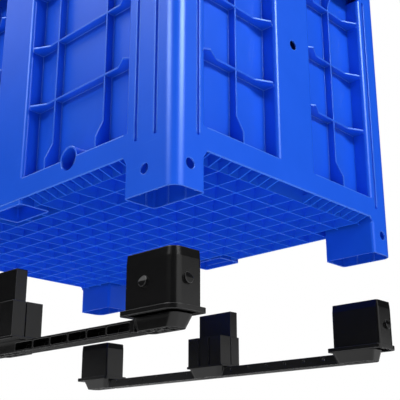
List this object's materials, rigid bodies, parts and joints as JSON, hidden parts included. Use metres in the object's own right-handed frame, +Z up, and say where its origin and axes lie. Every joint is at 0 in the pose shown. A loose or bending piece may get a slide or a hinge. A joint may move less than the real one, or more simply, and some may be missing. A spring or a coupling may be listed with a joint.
{
  "type": "bulk container",
  "caption": "Open rigid plastic box on hollow corner feet with ribbed sides, a drain and an egg-crate base, over two snap-in skids shown lowered.",
  "frame": {"origin": "under the middle of the box, at the level of the skid soles", "axes": "+X along the long side, +Y towards the long side without the drain, +Z up"},
  "size_m": [1.2, 0.8, 1.06],
  "materials": {
    "box_plastic": "satin blue",
    "skid_plastic": "satin black"
  },
  "bodies": {
    "container": {"floor_plate": "box_plastic", "crate_middle": "box_plastic", "top_rim": "box_plastic", "middle_socket_front": "box_plastic", "middle_socket_rear": "box_plastic", "front_panel": "box_plastic", "rear_panel": "box_plastic", "left_panel": "box_plastic", "right_panel": "box_plastic", "front_skirt": "box_plastic", "rear_skirt": "box_plastic", "left_skirt": "box_plastic", "right_skirt": "box_plastic", "crate_side_front_left": "box_plastic", "crate_side_front_right": "box_plastic", "crate_side_rear_left": "box_plastic", "crate_side_rear_right": "box_plastic", "foot_front_left": "box_plastic", "foot_front_right": "box_plastic", "foot_rear_left": "box_plastic", "foot_rear_right": "box_plastic", "corner_column_front_left": "box_plastic", "corner_column_front_right": "box_plastic", "corner_column_rear_left": "box_plastic", "corner_column_rear_right": "box_plastic"},
    "skid_front": {"runner_front": "skid_plastic", "end_plug_front_left": "skid_plastic", "end_plug_front_right": "skid_plastic", "middle_post_front": "skid_plastic"},
    "skid_rear": {"runner_rear": "skid_plastic", "end_plug_rear_left": "skid_plastic", "end_plug_rear_right": "skid_plastic", "middle_post_rear": "skid_plastic"},
    "side_catch_front_left": {"side_catch_front_left": "skid_plastic"},
    "end_catch_front_left": {"end_catch_front_left": "skid_plastic"},
    "side_catch_front_right": {"side_catch_front_right": "skid_plastic"},
    "end_catch_front_right": {"end_catch_front_right": "skid_plastic"},
    "side_catch_rear_left": {"side_catch_rear_left": "skid_plastic"},
    "end_catch_rear_left": {"end_catch_rear_left": "skid_plastic"},
    "side_catch_rear_right": {"side_catch_rear_right": "skid_plastic"},
    "end_catch_rear_right": {"end_catch_rear_right": "skid_plastic"}
  },
  "joints": [
    {"name": "skid_front_lift", "type": "slide", "parent": "container", "child": "skid_front", "axis": [0, 0, 1], "range_m": [0, 0.2317], "deforming": ["side_catch_front_left", "side_catch_front_right", "end_catch_front_left", "end_catch_front_right"]},
    {"name": "skid_rear_lift", "type": "slide", "parent": "container", "child": "skid_rear", "axis": [0, 0, 1], "range_m": [0, 0.2317], "deforming": ["side_catch_rear_left", "side_catch_rear_right", "end_catch_rear_left", "end_catch_rear_right"]},
    {"name": "side_catch_front_left_press", "type": "slide", "parent": "skid_front", "child": "side_catch_front_left", "axis": [0, 1, 0], "range_m": [0, 0.005], "stiffness_N_per_m": 2000},
    {"name": "end_catch_front_left_press", "type": "slide", "parent": "skid_front", "child": "end_catch_front_left", "axis": [1, 0, 0], "range_m": [0, 0.005], "stiffness_N_per_m": 2000},
    {"name": "side_catch_front_right_press", "type": "slide", "parent": "skid_front", "child": "side_catch_front_right", "axis": [0, 1, 0], "range_m": [0, 0.005], "stiffness_N_per_m": 2000},
    {"name": "end_catch_front_right_press", "type": "slide", "parent": "skid_front", "child": "end_catch_front_right", "axis": [-1, 0, 0], "range_m": [0, 0.005], "stiffness_N_per_m": 2000},
    {"name": "side_catch_rear_left_press", "type": "slide", "parent": "skid_rear", "child": "side_catch_rear_left", "axis": [0, -1, 0], "range_m": [0, 0.005], "stiffness_N_per_m": 2000},
    {"name": "end_catch_rear_left_press", "type": "slide", "parent": "skid_rear", "child": "end_catch_rear_left", "axis": [1, 0, 0], "range_m": [0, 0.005], "stiffness_N_per_m": 2000},
    {"name": "side_catch_rear_right_press", "type": "slide", "parent": "skid_rear", "child": "side_catch_rear_right", "axis": [0, -1, 0], "range_m": [0, 0.005], "stiffness_N_per_m": 2000},
    {"name": "end_catch_rear_right_press", "type": "slide", "parent": "skid_rear", "child": "end_catch_rear_right", "axis": [-1, 0, 0], "range_m": [0, 0.005], "stiffness_N_per_m": 2000}
  ]
}
